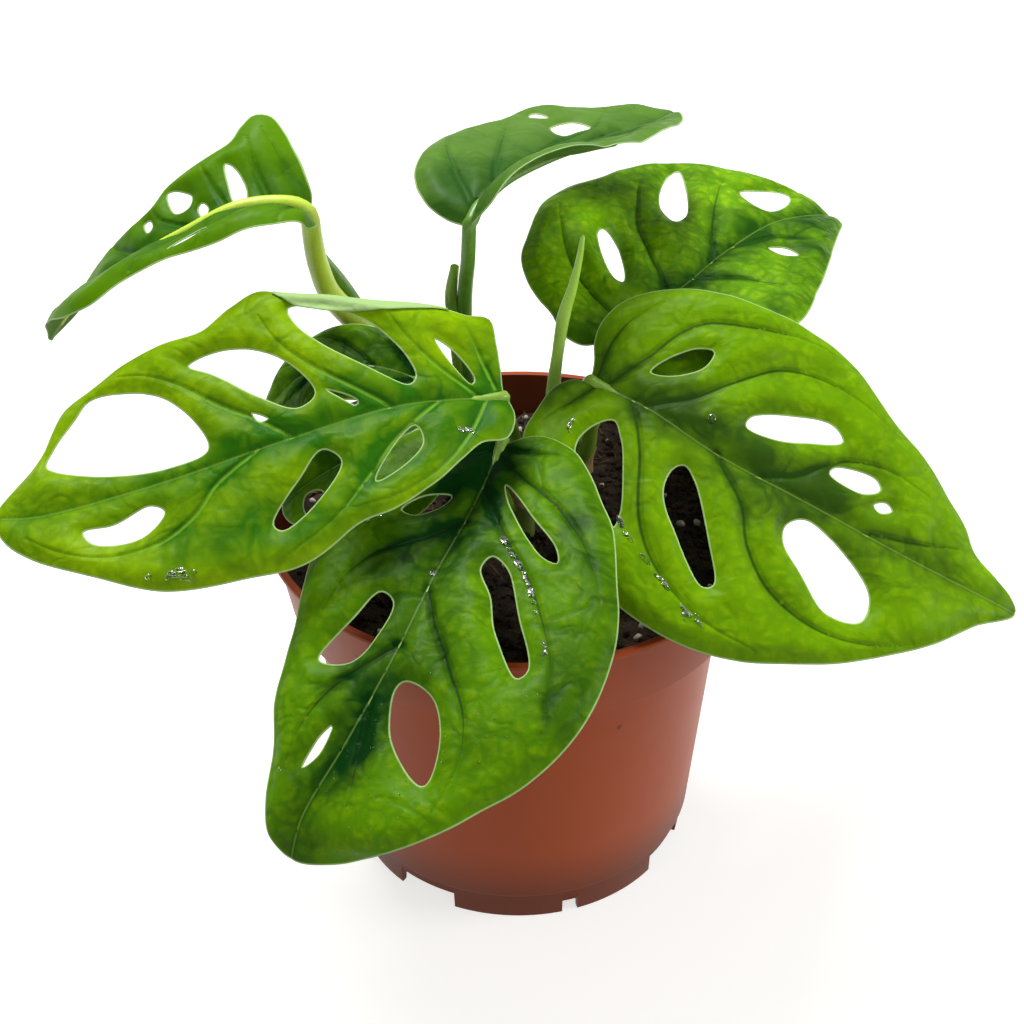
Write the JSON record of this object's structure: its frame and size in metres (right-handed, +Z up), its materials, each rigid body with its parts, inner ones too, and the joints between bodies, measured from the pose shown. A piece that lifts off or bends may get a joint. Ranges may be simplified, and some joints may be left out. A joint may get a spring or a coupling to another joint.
{
  "type": "potted swiss cheese plant",
  "caption": "Vine-stemmed house plant with glossy heart-shaped leaves full of long natural holes, growing in dark soil in a round terracotta-coloured plastic nursery pot.",
  "frame": {"origin": "centre of the pot's base, on the surface it stands on", "axes": "+Z up, -Y towards the front of the plant, +X to its right"},
  "size_m": [0.225, 0.2045, 0.1824],
  "materials": {
    "pot_plastic": "satin moulded plastic, terracotta coloured",
    "potting_soil": "moist peat mix",
    "stem": "green living stem",
    "leaf": "glossy living leaf",
    "young_leaf": "glossy young leaf"
  },
  "bodies": {
    "root": {"pot": "pot_plastic", "soil": "potting_soil", "stem_front": "stem", "stem_right": "stem", "stem_back": "stem", "leaf_front_left": "leaf", "leaf_front": "leaf", "leaf_right": "leaf", "leaf_back_right": "leaf", "leaf_top": "leaf", "leaf_top_left": "leaf", "leaf_shaded": "leaf", "leaf_rim": "leaf", "rolled_leaf": "young_leaf"}
  },
  "joints": []
}
